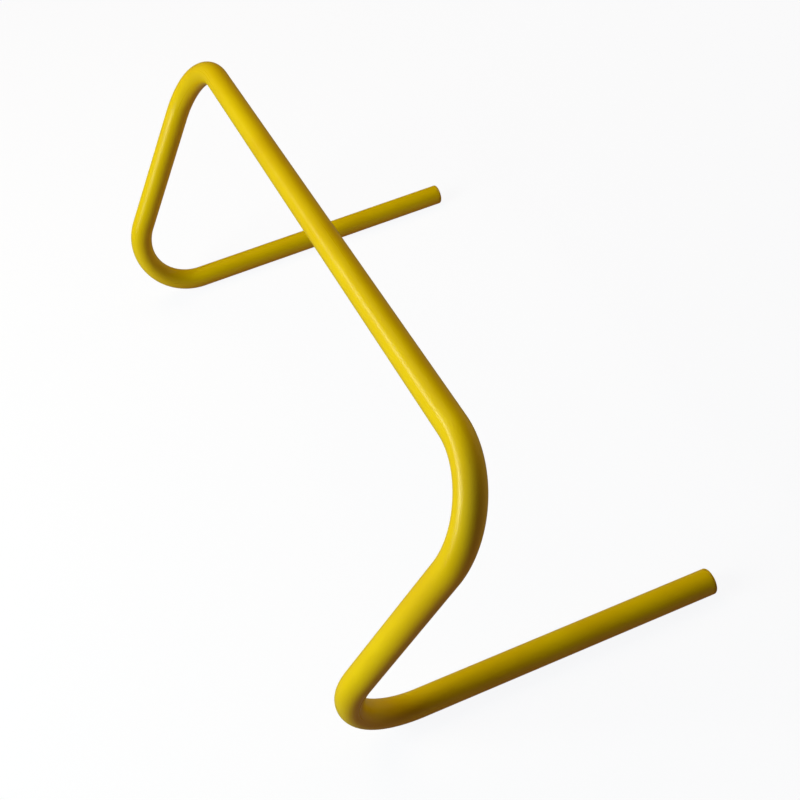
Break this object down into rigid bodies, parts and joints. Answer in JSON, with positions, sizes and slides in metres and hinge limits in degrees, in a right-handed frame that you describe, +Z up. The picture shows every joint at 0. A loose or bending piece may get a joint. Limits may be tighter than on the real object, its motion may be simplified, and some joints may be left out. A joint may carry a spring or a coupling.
{
  "type": "speed hurdle",
  "caption": "Low free-standing training hurdle bent from one round plastic tube: a crossbar on leaning uprights, with feet that run back along the floor and plugs in the tube's ends.",
  "frame": {"origin": "on the floor, in the middle of the footprint", "axes": "+X along the crossbar, +Y the way the feet run back from the lower bends, +Z up"},
  "size_m": [0.573, 0.314, 0.23],
  "materials": {
    "yellow_tube": "satin gloss",
    "yellow_plug": "satin"
  },
  "bodies": {
    "root": {"hurdle_tube": "yellow_tube", "left_end_plug": "yellow_plug", "right_end_plug": "yellow_plug"}
  },
  "joints": []
}
